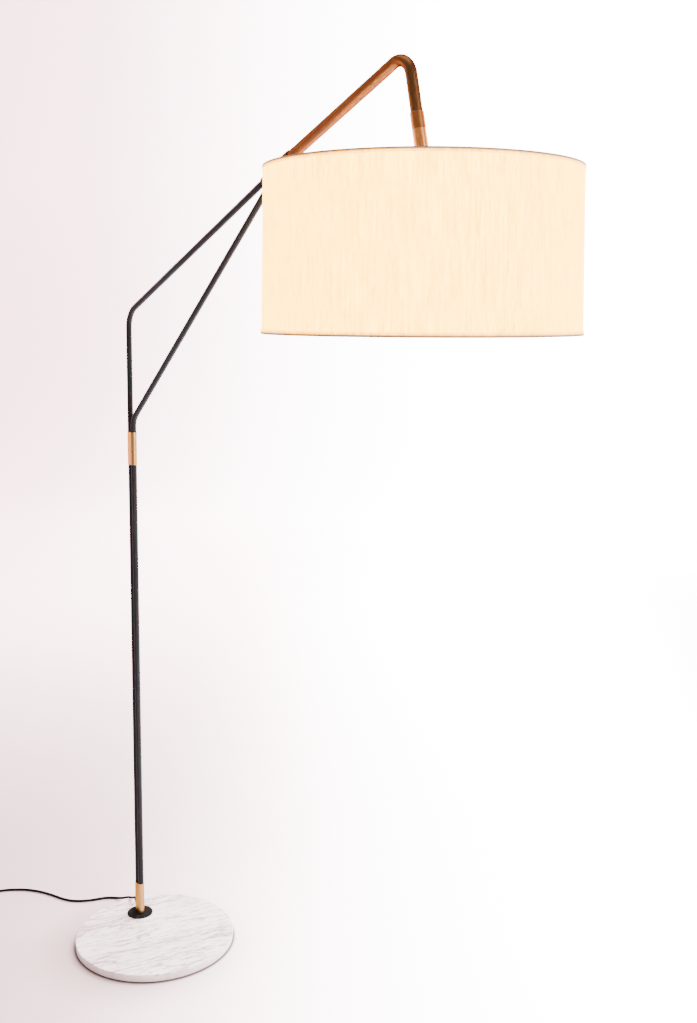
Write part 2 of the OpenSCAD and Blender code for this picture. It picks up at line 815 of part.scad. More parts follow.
module plug_blades_shape() {
    for (y = [-1, 1]) at_plug()
        translate([-blade_w / 2, y * blade_gap / 2 - blade_t / 2, plug_neck + plug_l - 7])
            cube([blade_w, blade_t, blade_l + 6]);
}

module plug_blades() {
    color(brass) plug_blades_shape();
}

floor_pad();
ballast_plate();
marble_base();
foot_stud();
foot_washer();
foot_nut();
foot_flange();
foot_block();
foot_ferrule();
cord_relief();
rear_pole_tube();
front_pole_tube();
coupling_dowels();
pole_collar();
collar_screws();
main_arm_tube();
brace_tube();
arm_lug();
upper_arm_tube();
end_collar();
end_collar_screw();
inner_cable();
shade_stem();
knuckle_fork();
knuckle_bolt();
lock_knob();
knuckle_tongue();
holder_nipple();
holder_cap();
holder_shell();
holder_insulator();
holder_contact();
switch_spindle();
switch_knob();
bulb_cap();
bulb_glass();
holder_lead();
spider_hub();
spider_spokes();
spider_nut();
top_ring();
bottom_ring();
shade_liner();
shade_fabric();
top_trim();
bottom_trim();
mains_cord();
cord_coil();
cord_tail();
plug_body();
plug_blades();
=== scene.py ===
"""Arc floor lamp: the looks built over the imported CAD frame, in metres."""

import json
import math

import bpy
from mathutils import Matrix, Vector


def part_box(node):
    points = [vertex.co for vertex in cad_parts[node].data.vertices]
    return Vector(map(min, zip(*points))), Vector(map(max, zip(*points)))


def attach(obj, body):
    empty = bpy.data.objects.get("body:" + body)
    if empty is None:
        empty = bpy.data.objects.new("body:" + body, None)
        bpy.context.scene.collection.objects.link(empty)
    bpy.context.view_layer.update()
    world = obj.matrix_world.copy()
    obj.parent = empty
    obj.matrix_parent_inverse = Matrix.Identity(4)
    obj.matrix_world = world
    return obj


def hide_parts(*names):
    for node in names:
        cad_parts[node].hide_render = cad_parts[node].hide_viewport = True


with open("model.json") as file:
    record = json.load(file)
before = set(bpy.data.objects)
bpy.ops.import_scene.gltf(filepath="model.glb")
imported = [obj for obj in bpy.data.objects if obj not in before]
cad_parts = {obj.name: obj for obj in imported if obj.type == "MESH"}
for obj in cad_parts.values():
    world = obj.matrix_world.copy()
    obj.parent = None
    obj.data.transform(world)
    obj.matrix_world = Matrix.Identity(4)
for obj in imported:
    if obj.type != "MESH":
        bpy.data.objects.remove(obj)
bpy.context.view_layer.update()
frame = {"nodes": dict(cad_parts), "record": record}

STAND = "stand"
SHADE = "shade"
MM = 0.001
UP = Vector((0, 0, 1))
AHEAD = Vector((-0.773, 0.634, 0)).normalized()     # level, away from the photograph's viewpoint
ACROSS = Vector((AHEAD.y, -AHEAD.x, 0))             # level, to the right in the photograph


def middle(name):
    """Centre of a CAD node's box."""
    low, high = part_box(name)
    return (low + high) / 2


def size(name):
    """Width, depth and height of a CAD node's box."""
    low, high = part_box(name)
    return high - low


def add_object(name, data):
    """A new object in the scene."""
    obj = bpy.data.objects.new(name, data)
    bpy.context.scene.collection.objects.link(obj)
    return obj


# ---------- camera ----------

CAMERA_PLACE = (2.3275, -1.2683, 1.4158)
CAMERA_PITCH = math.radians(6.51)       # how far it looks down
CAMERA_ROLL = math.radians(-0.28)
CAMERA_LENS = 41.4                      # in mm, like the sensor
CAMERA_SENSOR = 36


def make_camera():
    """Eye-level view from the front right, looking slightly down."""
    look = (AHEAD * math.cos(CAMERA_PITCH) - UP * math.sin(CAMERA_PITCH)).normalized()
    level_right = look.cross(UP).normalized()
    turn = Matrix.Rotation(CAMERA_ROLL, 3, look)
    right = turn @ level_right
    up = turn @ level_right.cross(look)
    data = bpy.data.cameras.new("camera")
    data.lens = CAMERA_LENS
    data.sensor_width = CAMERA_SENSOR
    data.shift_x = -0.0060
    data.shift_y = -0.0656
    camera = add_object("camera", data)
    axes = Matrix((right, up, -look)).transposed().to_4x4()
    camera.matrix_world = Matrix.Translation(CAMERA_PLACE) @ axes
    bpy.context.scene.camera = camera


make_camera()

# ---------- node material helpers ----------

# A Mix node's sockets by number, because its float and colour ones share their names.
MIX_FLOAT_A = 2
MIX_FLOAT_B = 3
MIX_FLOAT_OUT = 0
MIX_COLOUR_A = 6
MIX_COLOUR_B = 7
MIX_COLOUR_OUT = 2


def new_material(name):
    """A new material, its node tree and its Principled shader."""
    material = bpy.data.materials.new(name)
    material.use_nodes = True
    tree = material.node_tree
    return material, tree, tree.nodes["Principled BSDF"]


def set_values(made, **values):
    """Sets a node's properties, or its sockets by name with _ for a space."""
    for key, value in values.items():
        if hasattr(made, key):
            setattr(made, key, value)
        else:
            made.inputs[key.replace("_", " ")].default_value = value


def node(tree, kind, **values):
    """A shader node with these properties and socket values."""
    made = tree.nodes.new("ShaderNode" + kind)
    set_values(made, **values)
    return made


def join(tree, source, made, socket):
    """Links an output to a node's input, which is given by name or number."""
    tree.links.new(source, made.inputs[socket])


def coords(tree, kind="Object", **values):
    """Object or UV coordinates in metres, through a Mapping node with these values."""
    mapping = node(tree, "Mapping", **values)
    join(tree, node(tree, "TexCoord").outputs[kind], mapping, "Vector")
    return mapping.outputs["Vector"]


def one_axis(tree, place, axis):
    """The X, Y or Z of a place."""
    parts = node(tree, "SeparateXYZ")
    join(tree, place, parts, "Vector")
    return parts.outputs[axis]


def noise(tree, place, scale, detail=4.0, rough=0.5, distortion=0.0):
    """Fractal noise between nought and one, about a half."""
    made = node(tree, "TexNoise", Scale=scale, Detail=detail, Roughness=rough, Distortion=distortion)
    join(tree, place, made, "Vector")
    return made.outputs["Fac"]


def ramp(tree, source, stops):
    """A colour ramp over a value, with stops as (position, colour)."""
    made = node(tree, "ValToRGB")
    marks = made.color_ramp.elements
    while len(marks) < len(stops):
        marks.new(0.5)
    for mark, (at, colour) in zip(marks, stops):
        mark.position = at
        mark.color = (*colour, 1)
    join(tree, source, made, "Fac")
    return made.outputs["Color"]


def to_range(tree, source, low, high, from_low=0.0, from_high=1.0, easing="LINEAR"):
    """A value brought to low up to high, and held between them."""
    made = node(tree, "MapRange", interpolation_type=easing, From_Min=from_low, From_Max=from_high,
                To_Min=low, To_Max=high)
    join(tree, source, made, "Value")
    return made.outputs["Result"]


def eased(tree, source, low, high, from_low, from_high):
    """Like to_range, with a soft start and end."""
    return to_range(tree, source, low, high, from_low, from_high, "SMOOTHSTEP")


def calculated(tree, operation, *terms):
    """A Math node over outputs and plain numbers."""
    made = node(tree, "Math", operation=operation)
    for i, term in enumerate(terms):
        if isinstance(term, bpy.types.NodeSocket):
            join(tree, term, made, i)
        else:
            made.inputs[i].default_value = term
    return made.outputs[0]


def product(tree, total, *others):
    """The values multiplied together."""
    for other in others:
        total = calculated(tree, "MULTIPLY", total, other)
    return total


def blend(tree, share, a, b):
    """Colour a where the share is nought, and colour b where it is one."""
    made = node(tree, "Mix", data_type="RGBA")
    join(tree, share, made, "Factor")
    join(tree, a, made, MIX_COLOUR_A)
    join(tree, b, made, MIX_COLOUR_B)
    return made.outputs[MIX_COLOUR_OUT]


def multiplied(tree, a, b, share):
    """Colour a, by this share multiplied by colour b."""
    made = node(tree, "Mix", data_type="RGBA", blend_type="MULTIPLY", Factor=share)
    join(tree, a, made, MIX_COLOUR_A)
    join(tree, b, made, MIX_COLOUR_B)
    return made.outputs[MIX_COLOUR_OUT]


def bump(tree, height, shader, strength, distance):
    """Relief from a value. Distance is its depth in metres."""
    made = node(tree, "Bump", Strength=strength, Distance=distance)
    join(tree, height, made, "Height")
    join(tree, made.outputs["Normal"], shader, "Normal")


# ---------- hard materials ----------

PATCHES = 9.0            # patches of tone per metre
WEAR_TO_GRAIN = 0.35     # how coarse the uneven gloss is beside the grain


def dressed(name, tones, rough, grain, grain_depth=0.00002, grain_scale=(1, 1, 1), metallic=0.0,
            specular=0.5, edge=(1, 1, 1), ior=1.5):
    """A mottled surface: a patchy colour between two tones, uneven gloss and a fine grain.

    Rough is the range of the gloss, and edge the tint of what the surface reflects at a low angle.
    """
    material, tree, shader = new_material(name)
    set_values(shader, Metallic=metallic, Specular_IOR_Level=specular, Specular_Tint=(*edge, 1), IOR=ior)
    patches = noise(tree, coords(tree), PATCHES, 5, 0.6)
    join(tree, ramp(tree, patches, [(0.3, tones[0]), (0.7, tones[1])]), shader, "Base Color")
    wear = noise(tree, coords(tree, Scale=grain_scale), grain * WEAR_TO_GRAIN, 3, 0.6)
    join(tree, to_range(tree, wear, *rough, 0.3, 0.7), shader, "Roughness")
    fine = noise(tree, coords(tree, Scale=grain_scale), grain, 3, 0.5)
    bump(tree, fine, shader, 0.5, grain_depth)
    return material


def brushed_brass(name, tones, rough):
    """Brass with fine lines up its height."""
    return dressed(name, tones, rough, 420.0, grain_depth=0.000004, grain_scale=(1, 1, 0.1), metallic=1.0,
                   edge=(0.12, 0.06, 0.03))


def bronze(name, tones, rough, edge):
    """Bronze with a very fine even grain."""
    return dressed(name, tones, rough, 500.0, grain_depth=0.000003, metallic=1.0, edge=edge)


BRASS = brushed_brass("satin_brass", [(0.50, 0.29, 0.095), (0.60, 0.36, 0.12)], (0.20, 0.28))
# Painted shade: a darker copy of the satin brass for the foot ferrule and the pole collar, so they read
# darker than the brass elsewhere.
SHADED_BRASS = brushed_brass("shaded_brass_copy", [(0.42, 0.250, 0.090), (0.52, 0.315, 0.115)], (0.26, 0.30))
ARM_BRONZE = bronze("warm_bronze", [(0.135, 0.062, 0.027), (0.190, 0.086, 0.036)], (0.36, 0.42),
                    (0.05, 0.025, 0.015))
COLLAR_BRONZE = bronze("collar_bronze", [(0.36, 0.130, 0.042), (0.46, 0.175, 0.058)], (0.30, 0.40),
                       (0.04, 0.02, 0.01))
# Painted light: a much brighter copy of the bronze for the shade stem, standing in for the bulb's light
# falling on it from below.
BULB_LIT_STEM_BRONZE = bronze("painted_bulb_lit_bronze", [(0.74, 0.29, 0.090), (0.86, 0.37, 0.120)], (0.30, 0.40),
                     (0.20, 0.08, 0.03))
STEEL = dressed("zinc_steel", [(0.50, 0.50, 0.51), (0.62, 0.62, 0.63)], (0.25, 0.42), 600.0, metallic=1.0)
BLACK = dressed("satin_black", [(0.0125, 0.0135, 0.0165), (0.0170, 0.0185, 0.0220)], (0.36, 0.48), 1400.0,
                grain_depth=0.000006, specular=0.28, ior=1.16)
MATTE_BLACK = dressed("matte_black", [(0.0070, 0.0070, 0.0075), (0.0100, 0.0100, 0.0110)], (0.55, 0.70),
                      1400.0, grain_depth=0.000006, specular=0.02, ior=1.16)
RUBBER = dressed("black_sheath", [(0.004, 0.004, 0.0045), (0.008, 0.008, 0.009)], (0.45, 0.60), 900.0,
                 specular=0.12, ior=1.16)
PLASTIC = dressed("black_plastic", [(0.008, 0.008, 0.0085), (0.013, 0.013, 0.014)], (0.35, 0.50), 1100.0,
                  grain_depth=0.00003, specular=0.3)
PALE_PLASTIC = dressed("pale_insulator", [(0.72, 0.70, 0.64), (0.78, 0.76, 0.71)], (0.35, 0.5), 700.0)
FELT = dressed("black_felt", [(0.02, 0.02, 0.02), (0.045, 0.045, 0.045)], (0.9, 1.0), 2500.0,
               grain_depth=0.0002, specular=0.1)

SLOT_MATERIALS = {"felt": FELT, "steel": STEEL, "black_paint": BLACK, "brass": BRASS, "black_rubber": RUBBER,
                  "black_plastic": PLASTIC, "holder_plastic": PALE_PLASTIC}
NODE_MATERIALS = {"upper_arm_tube": ARM_BRONZE, "arm_lug": ARM_BRONZE, "knuckle_fork": ARM_BRONZE,
                  "knuckle_tongue": ARM_BRONZE, "end_collar": COLLAR_BRONZE, "shade_stem": BULB_LIT_STEM_BRONZE,
                  "foot_flange": MATTE_BLACK, "foot_ferrule": SHADED_BRASS, "pole_collar": SHADED_BRASS}


def paint(name, material):
    """Gives a CAD node its material."""
    slots = frame["nodes"][name].data.materials
    slots.clear()
    slots.append(material)


for part in frame["record"]["subparts"]:
    chosen = NODE_MATERIALS.get(part["node"]) or SLOT_MATERIALS.get(part["material_slot"])
    if chosen:
        paint(part["node"], chosen)

# ---------- cord ----------

CORD_D = 5.5 * MM
LIE = 2.9                # height of the cord's middle where it lies on the floor, in mm like the routes
CORD_ROUTE = [(-34, 8, 33), (-42, 10.2, 32.6), (-51, 12, 29), (-61, 13, 24), (-71, 13.4, 20.6),
              (-81, 13.2, 17.2), (-92, 12, 12.4), (-104, 9, 7), (-116, 4.2, 3.8), (-127, -4.5, LIE),
              (-136.5, -17, LIE), (-143, -34, LIE), (-150, -53, LIE), (-161, -72, LIE), (-177, -89, LIE),
              (-199, -101, LIE), (-224, -110, LIE), (-250, -120.5, LIE), (-275, -135, LIE),
              (-298, -154, LIE), (-317, -178, LIE), (-330.5, -206, LIE), (-337, -238, LIE)]
TAIL_ROUTE = [(-384, -316.5, 8.2), (-395, -317.5, 6.6), (-408, -318.5, 4.2), (-420, -319, 4.4),
              (-434, -319, 6.5)]
COIL_LANES = 4           # turns side by side on the floor, with as many on top of them
COIL_END = 0.22          # share of a turn that the coil goes on for in its last lane
TURN_POINTS = 24
SWITCH = 0.6             # share of a turn in which the cord moves to its next lane
LEAN = 0.25              # how far it leans inwards as it climbs on top, in diameters
LINE_STEP = 3 * MM       # about how far apart the points of the smooth line are


def ease(t):
    """Nought to one with a soft start and end."""
    return t * t * (3 - 2 * t)


def coil_points():
    """The coil's turns: inwards along the floor, then up and outwards on top, clockwise from above."""
    low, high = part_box("cord_coil")
    centre = (low + high) / 2
    outer = (high.x - low.x) / 2 - CORD_D / 2
    floor_row = [(outer - i * CORD_D, low.z + CORD_D / 2) for i in range(COIL_LANES)]
    top_row = [(r, z + CORD_D) for r, z in reversed(floor_row)]
    lanes = floor_row + top_row
    points = []
    for i in range(int(TURN_POINTS * (len(lanes) - 1 + COIL_END)) + 1):
        turns = i / TURN_POINTS
        lane = int(turns)
        move = ease(max(0.0, (turns - lane - 1 + SWITCH) / SWITCH))
        r0, z0 = lanes[lane]
        r1, z1 = lanes[min(lane + 1, len(lanes) - 1)]
        r = r0 + (r1 - r0) * move
        if lane == len(floor_row) - 1:
            r -= LEAN * CORD_D * math.sin(math.pi * move)
        angle = -2 * math.pi * turns
        points.append(Vector((centre.x + r * math.cos(angle), centre.y + r * math.sin(angle),
                              z0 + (z1 - z0) * move)))
    return points


def smooth_line(points, step):
    """Points along a Catmull-Rom curve through the given ones, about a step apart."""
    line = []
    for i in range(len(points) - 1):
        a, b, c, d = (points[max(0, min(len(points) - 1, i + k))] for k in (-1, 0, 1, 2))
        n = max(1, round((c - b).length / step))
        for k in range(n):
            t = k / n
            line.append(0.5 * (2 * b + (c - a) * t + (2 * a - 5 * b + 4 * c - d) * t ** 2
                               + (3 * b - a - 3 * c + d) * t ** 3))
    return line + [points[-1].copy()]


def tube_along(name, line, diameter, material):
    """A round tube with closed ends along a line of points."""
    data = bpy.data.curves.new(name, "CURVE")
    data.dimensions = "3D"
    data.bevel_depth = diameter / 2
    data.bevel_resolution = 5
    data.use_fill_caps = True
    spline = data.splines.new("POLY")
    spline.points.add(len(line) - 1)
    for point, place in zip(spline.points, line):
        point.co = (*place, 1)
    spline.use_smooth = True
    data.materials.append(material)
    return add_object(name, data)


def make_cord():
    """The free stretch, the coil and the tail as one tube, with its strain relief."""
    route = [Vector(p) * MM for p in CORD_ROUTE]
    tail = [Vector(p) * MM for p in TAIL_ROUTE]
    line = smooth_line(route + coil_points() + tail, LINE_STEP)
    cord = tube_along("flex_cord", line, CORD_D, RUBBER)
    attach(cord, STAND)
    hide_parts("mains_cord", "cord_coil", "cord_tail")
    make_relief()


# ---------- meshes ----------

def mesh_object(name, verts, faces, material, sharp=35):
    """A smooth-shaded mesh, with its edges sharp where they turn by more than this many degrees."""
    mesh = bpy.data.meshes.new(name)
    mesh.from_pydata(verts, [], faces)
    mesh.update()
    mesh.polygons.foreach_set("use_smooth", [True] * len(mesh.polygons))
    mesh.set_sharp_from_angle(angle=math.radians(sharp))
    mesh.materials.append(material)
    return add_object(name, mesh)


def add_uvs(obj, uvs):
    """UVs in metres, one for each vertex."""
    layer = obj.data.uv_layers.new(name="metres")
    for loop in obj.data.loops:
        layer.data[loop.index].uv = uvs[loop.vertex_index]


def lathe(name, profile, material, place, sides, sharp, wave=None):
    """A closed ring or a capped body turned about local Z. Profile points are (radius, height)."""
    verts = []
    for i, (r, z) in enumerate(profile):
        for k in range(sides):
            angle = 2 * math.pi * k / sides
            out = r + (wave(i, angle) if wave else 0)
            verts.append(place @ Vector((out * math.cos(angle), out * math.sin(angle), z)))
    rows = len(profile) - 1
    faces = []
    for i in range(rows):
        for k in range(sides):
            j = (k + 1) % sides
            faces.append((i * sides + k, i * sides + j, (i + 1) * sides + j, (i + 1) * sides + k))
    if profile[0] != profile[-1]:
        faces.append(tuple(range(sides))[::-1])
        faces.append(tuple(rows * sides + k for k in range(sides)))
    return mesh_object(name, verts, faces, material, sharp)


def make_relief():
    """Ribbed rubber strain relief where the cord leaves the ferrule."""
    tip = Vector(CORD_ROUTE[0]) * MM
    axis = Vector((-0.96, 0.28, 0)).normalized()
    side = axis.cross(UP)
    place = Matrix.Translation(tip) @ Matrix((side, axis.cross(side), axis)).transposed().to_4x4()
    # (radius, distance along the axis from the tip) in mm: the neck, the shoulder, the ribs and the end.
    start = -19.6
    ribs = 6
    profile = [(3.4, start - 3.4), (3.4, start), (4.9, start), (5.0, start + 1.8), (4.5, start + 2.3)]
    for i in range(ribs):
        foot = start + 3.2 + i * 2.6
        crest = 4.3 - 0.14 * i
        groove = crest - 0.7
        profile += [(groove, foot), (groove, foot + 0.7), (crest, foot + 0.9), (crest - 0.05, foot + 2.4)]
    profile += [(3.3, 0.6), (2.8, 1.6)]
    relief = lathe("ribbed_relief", [(r * MM, z * MM) for r, z in profile], RUBBER, place, 40, 50)
    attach(relief, STAND)
    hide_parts("cord_relief")
    return relief


make_cord()

# ---------- marble, linen, liner and bulb ----------

VEIN_TURN = math.radians(78)     # the veins' direction on the slab
SIDE_VEINS = 0.12                # how much of the veins shows on the slab's side
WEFT_SHARE = 0.2                 # how much the weft adds to the linen's slubs and threads


def streaked(tree, scale, stretch):
    """Coordinates drawn out along the marble's veins."""
    return coords(tree, vector_type="TEXTURE", Rotation=(0, 0, VEIN_TURN),
                  Scale=(stretch / scale, 1 / scale, stretch / scale))


def vein_lines(tree, scale, stretch, wave, stops):
    """Thin lines where a drawn-out noise crosses its middle value."""
    field = noise(tree, streaked(tree, scale, stretch), 1.0, 7, 0.62, wave)
    off = calculated(tree, "SUBTRACT", field, 0.5)
    return ramp(tree, calculated(tree, "ABSOLUTE", off), stops)


def marble():
    """Polished white marble, with grey veins and specks that are faint on its side."""
    material, tree, shader = new_material("white_marble")
    cloud = noise(tree, streaked(tree, 9, 3), 1.0, 6, 0.6, 0.4)
    ground = ramp(tree, cloud, [(0.30, (0.72, 0.62, 0.635)), (0.55, (0.90, 0.80, 0.81))])
    fine = vein_lines(tree, 60, 7, 0.2, [(0.0, (0.34, 0.29, 0.30)), (0.012, (0.62, 0.57, 0.58)),
                                         (0.030, (1, 1, 1))])
    broad = vein_lines(tree, 20, 7, 0.35, [(0.0, (0.16, 0.14, 0.15)), (0.006, (0.42, 0.38, 0.39)),
                                           (0.020, (1, 1, 1))])
    veined = multiplied(tree, multiplied(tree, ground, fine, 0.75), broad, 0.85)
    speck = noise(tree, coords(tree), 260, 2, 0.5)
    dots = ramp(tree, speck, [(0.25, (0.55, 0.52, 0.53)), (0.29, (1, 1, 1))])
    specked = multiplied(tree, veined, dots, 0.5)
    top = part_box("marble_base")[1].z
    height = one_axis(tree, coords(tree), "Z")
    on_top = to_range(tree, height, SIDE_VEINS, 1.0, top - 2.5 * MM, top - 0.8 * MM)
    join(tree, blend(tree, on_top, ground, specked), shader, "Base Color")
    polish = noise(tree, coords(tree), 30, 4, 0.6)
    join(tree, to_range(tree, polish, 0.07, 0.16, 0.3, 0.7), shader, "Roughness")
    set_values(shader, Specular_IOR_Level=0.35)
    bump(tree, polish, shader, 0.15, 0.00005)
    return material


def see_through(tree, shader, colour, share):
    """Mixes a translucent layer into a shader, so that light from behind shows."""
    behind = node(tree, "BsdfTranslucent")
    join(tree, colour, behind, "Color")
    mixed = node(tree, "MixShader", Fac=share)
    join(tree, shader.outputs["BSDF"], mixed, 1)
    join(tree, behind.outputs["BSDF"], mixed, 2)
    join(tree, mixed.outputs["Shader"], tree.nodes["Material Output"], "Surface")


def painted_edge_shade(tree, low, high, reach):
    """One within the cloth, and nought within a short reach of its edges, where painted shade falls."""
    height = one_axis(tree, coords(tree, "UV"), "Y")
    up = to_range(tree, height, 0, 1, low + 0.4 * reach, low + reach)
    down = to_range(tree, height, 1, 0, high - reach, high - 0.4 * reach)
    return product(tree, up, down)


def linen(name, glow, tones, edges=None):
    """Slubbed cloth lit from inside, partly through a translucent layer and partly by a painted glow of
    emission, with UVs in metres along the round and up the height.

    Edges, as low, high and reach, say where the painted glow fades and painted shade darkens the colour.
    """
    material, tree, shader = new_material(name)
    slubs = noise(tree, coords(tree, "UV", Scale=(260, 12, 1)), 1.0, 5, 0.65)
    threads = noise(tree, coords(tree, "UV", Scale=(1500, 60, 1)), 1.0, 2, 0.5)
    weft = noise(tree, coords(tree, "UV", Scale=(40, 1300, 1)), 1.0, 2, 0.5)
    weave = calculated(tree, "MULTIPLY_ADD", weft, WEFT_SHARE, calculated(tree, "ADD", slubs, threads))
    level = to_range(tree, weave, 0, 1, 0.88, 1.32)
    tone = ramp(tree, level, [(0.2, tones[0]), (0.8, tones[1])])
    join(tree, to_range(tree, level, 0.85, 0.98), shader, "Roughness")
    # Painted light: the emission is a glow that stands in for the bulb's light shining through the cloth.
    set_values(shader, Specular_IOR_Level=0.15, Sheen_Weight=0.15, Emission_Strength=glow)
    warm = ramp(tree, level, [(0.0, (0.52, 0.24, 0.004)), (1.0, (1.0, 0.50, 0.012))])
    join(tree, warm, shader, "Emission Color")
    bump(tree, weave, shader, 0.6, 0.00025)
    if edges:
        # Painted shade: near the edges the tape loses its glow and turns greyer, standing in for its unlit
        # lip.
        edge_unshaded_share = painted_edge_shade(tree, *edges)
        join(tree, to_range(tree, edge_unshaded_share, 0.0, glow), shader, "Emission Strength")
        painted_edge_darkening = ramp(tree, edge_unshaded_share, [(0.0, (0.50, 0.50, 0.54)), (1.0, (1, 1, 1))])
        tone = multiplied(tree, tone, painted_edge_darkening, 1.0)
    join(tree, tone, shader, "Base Color")
    see_through(tree, shader, tone, 0.5)
    return material


def liner():
    """Milky plastic sheet."""
    material, tree, shader = new_material("liner_sheet")
    cloudy = noise(tree, coords(tree), 55, 4, 0.6)
    tone = ramp(tree, cloudy, [(0.3, (0.84, 0.82, 0.78)), (0.7, (0.90, 0.88, 0.85))])
    join(tree, tone, shader, "Base Color")
    join(tree, to_range(tree, cloudy, 0.35, 0.5, 0.3, 0.7), shader, "Roughness")
    bump(tree, noise(tree, coords(tree), 700, 3, 0.5), shader, 0.4, 0.00005)
    see_through(tree, shader, tone, 0.6)
    return material


def lit_bulb():
    """Opal glass that shines."""
    material, tree, shader = new_material("lit_opal_glass")
    cloudy = noise(tree, coords(tree), 40, 3, 0.5)
    tone = ramp(tree, cloudy, [(0.3, (0.95, 0.90, 0.80)), (0.7, (0.98, 0.94, 0.86))])
    join(tree, tone, shader, "Base Color")
    warm = ramp(tree, cloudy, [(0.3, (1.0, 0.74, 0.44)), (0.7, (1.0, 0.80, 0.52))])
    join(tree, warm, shader, "Emission Color")
    set_values(shader, Emission_Strength=60)
    join(tree, to_range(tree, cloudy, 0.15, 0.3), shader, "Roughness")
    return material


paint("marble_base", marble())
paint("shade_liner", liner())
paint("bulb_glass", lit_bulb())

# ---------- shade cloth ----------

SHADE_AXIS = middle("shade_fabric")
SHADE_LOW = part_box("shade_fabric")[0].z
SHADE_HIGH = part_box("shade_fabric")[1].z
RING_TO_FACE = 1.72 * MM         # from the top ring's outside to the cloth's outer face
R_LOW = size("shade_fabric").x / 2
R_HIGH = size("top_ring").x / 2 + RING_TO_FACE
LAP = 12 * MM                    # how far the cloth overlaps itself at the seam
LAP_LIFT = 0.55 * MM             # how far the upper layer stands off the lower one
SEAM_TURN = math.radians(130)
CLOTH_INSET = 0.62 * MM          # from the CAD cloth's outer face to the middle of the sheet
SWAY = 0.10 * MM                 # unevenness of the stretched cloth
TAPE_HEIGHT = 6.5 * MM
TAPE_THICK = 0.45 * MM
TAPE_RIPPLE = 0.06 * MM
# Both cloths glow by painted emission, standing in for the bulb's light through them.
LINEN = linen("lit_linen", 25.0, [(0.48, 0.37, 0.095), (0.66, 0.53, 0.165)])
TAPE = linen("linen_tape", 12.0, [(0.58, 0.46, 0.36), (0.70, 0.58, 0.46)], (SHADE_LOW, SHADE_HIGH, 4 * MM))


def shade_radius(z):
    """Radius of the cloth's outer face at a height."""
    return R_LOW + (R_HIGH - R_LOW) * (z - SHADE_LOW) / (SHADE_HIGH - SHADE_LOW)


def drum_cloth():
    """One strip of linen round the drum, with a lapped seam at the back."""
    around, rows = 320, 26
    lap_turn = LAP / R_LOW
    turn = 2 * math.pi + lap_turn
    verts, uvs, faces = [], [], []
    for j in range(rows + 1):
        z = SHADE_LOW + (SHADE_HIGH - SHADE_LOW) * j / rows
        for i in range(around + 1):
            share = i / around
            over_lap = (share * turn - 2 * math.pi + lap_turn) / (2 * lap_turn)
            lift = LAP_LIFT * ease(min(1.0, max(0.0, over_lap)))
            angle = SEAM_TURN + share * turn
            sway = SWAY * math.sin(7 * angle + 3 * j / rows) * math.sin(math.pi * j / rows)
            r = shade_radius(z) - CLOTH_INSET + lift + sway
            verts.append((SHADE_AXIS.x + r * math.cos(angle), SHADE_AXIS.y + r * math.sin(angle), z))
            uvs.append((share * turn * R_LOW, z))
    for j in range(rows):
        for i in range(around):
            a = j * (around + 1) + i
            faces.append((a, a + 1, a + around + 2, a + around + 1))
    cloth = mesh_object("shade_linen", verts, faces, LINEN)
    add_uvs(cloth, uvs)
    return cloth


def tape(name, edge, inward):
    """A folded tape over an edge of the drum: down the outside, over the edge and a little inside."""
    outside = shade_radius(edge) + 0.02 * MM
    inside = shade_radius(edge) - 1.62 * MM
    down = inward * TAPE_HEIGHT
    over = -inward * TAPE_THICK
    # Each point of the section is a face's radius, a step out in thicknesses, a step from the edge
    # into the drum in heights, and a step beyond the edge in thicknesses.
    section = [(outside, 0, 1, 0), (outside, 0.7, 1, -0.2), (outside, 1, 0.9, 0), (outside, 1, 0.5, 0),
               (outside, 1, 0.1, 0), (outside, 0.8, 0, 0.6), (outside, 0.2, 0, 1), (inside, -0.2, 0, 1),
               (inside, -0.8, 0, 0.5), (inside, -1, 0.15, 0), (inside, -1, 0.35, 0), (inside, -0.4, 0.42, 0),
               (inside, 0, 0.4, 0), (inside, 0, 0.02, 0), (outside, 0, 0.02, 0), (outside, 0, 1, 0)]
    profile = [(face + out * TAPE_THICK, edge + deep * down + beyond * over)
               for face, out, deep, beyond in section]

    def wave(i, angle):
        return TAPE_RIPPLE * math.sin(90 * angle + i) if 1 <= i <= 5 else 0.0

    ring = lathe(name, profile, TAPE, Matrix.Translation((SHADE_AXIS.x, SHADE_AXIS.y, 0)), 360, 60, wave)
    places = [vertex.co for vertex in ring.data.vertices]
    add_uvs(ring, [(math.atan2(p.y - SHADE_AXIS.y, p.x - SHADE_AXIS.x) * R_LOW, p.z) for p in places])
    return ring


def make_shade():
    """The cloth and its two tapes, on the shade's body."""
    cloth = drum_cloth()
    top = tape("top_tape", SHADE_HIGH, -1)
    bottom = tape("bottom_tape", SHADE_LOW, 1)
    for piece, part in ((cloth, "shade_fabric"), (top, "top_trim"), (bottom, "bottom_trim")):
        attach(piece, SHADE)
        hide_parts(part)


make_shade()

# ---------- stage and lights ----------

# Where the paper's painted shade and painted light change, in metres along AHEAD or ACROSS. Each pair is a
# start and an end. A change across has one pair for the floor and one for the far wall.
TO_WALL = (-0.5, 7.0)
SHADED_LEFT = ((-0.44, 0.16), (-3.3, -0.9))
LIT_RIGHT = ((-0.15, 1.0), (-2.1, 2.5))
FADED_RIGHT = ((1.4, 2.2), (4.0, 6.0))
WHITE_RIGHT = ((-0.26, 0.5), (-2.6, 0.5))
LIT_FROM_FRONT = (-1.3, -0.5)
LIT_FROM_BACK = (0.3, 3.2)


def along_axis(tree, direction):
    """How far a surface point is along a level direction."""
    dot = node(tree, "VectorMath", operation="DOT_PRODUCT")
    dot.inputs[1].default_value = direction
    join(tree, node(tree, "TexCoord").outputs["Object"], dot, 0)
    return dot.outputs["Value"]


